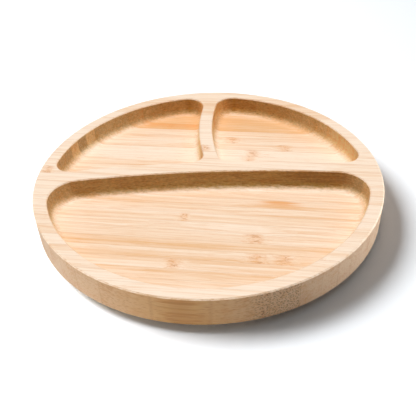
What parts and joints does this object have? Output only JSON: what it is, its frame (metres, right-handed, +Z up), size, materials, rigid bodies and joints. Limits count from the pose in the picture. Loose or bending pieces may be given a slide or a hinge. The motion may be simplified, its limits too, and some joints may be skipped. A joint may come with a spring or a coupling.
{
  "type": "divided suction plate",
  "caption": "Round bamboo toddler plate glued up from upright strips, with a large front compartment, small back compartments and a removable silicone suction ring below.",
  "frame": {"origin": "on the table under the centre of the plate, where the suction ring's lips rest", "axes": "+Z up, +X along the long divider to the right of a user sitting at the large compartment, +Y away from that user, towards the small compartments"},
  "size_m": [0.2, 0.2, 0.0232],
  "materials": {
    "bamboo": "fine sanded, thinly oiled",
    "silicone": "matt moulded"
  },
  "bodies": {
    "ring": {"suction_ring": "silicone"},
    "plate": {"bamboo_strip_01": "bamboo", "bamboo_strip_02": "bamboo", "bamboo_strip_03": "bamboo", "bamboo_strip_04": "bamboo", "bamboo_strip_05": "bamboo", "bamboo_strip_06": "bamboo", "bamboo_strip_07": "bamboo", "bamboo_strip_08": "bamboo", "bamboo_strip_09": "bamboo", "bamboo_strip_10": "bamboo", "bamboo_strip_11": "bamboo", "bamboo_strip_12": "bamboo", "bamboo_strip_13": "bamboo", "bamboo_strip_14": "bamboo", "bamboo_strip_15": "bamboo", "bamboo_strip_16": "bamboo", "bamboo_strip_17": "bamboo", "bamboo_strip_18": "bamboo", "bamboo_strip_19": "bamboo", "bamboo_strip_20": "bamboo", "bamboo_strip_21": "bamboo", "bamboo_strip_22": "bamboo", "bamboo_strip_23": "bamboo", "bamboo_strip_24": "bamboo", "bamboo_strip_25": "bamboo", "bamboo_strip_26": "bamboo", "bamboo_strip_27": "bamboo", "bamboo_strip_28": "bamboo"}
  },
  "joints": [
    {"name": "plate_lift", "type": "slide", "parent": "ring", "child": "plate", "axis": [0, 0, 1], "range_m": [0, 0.03]}
  ]
}
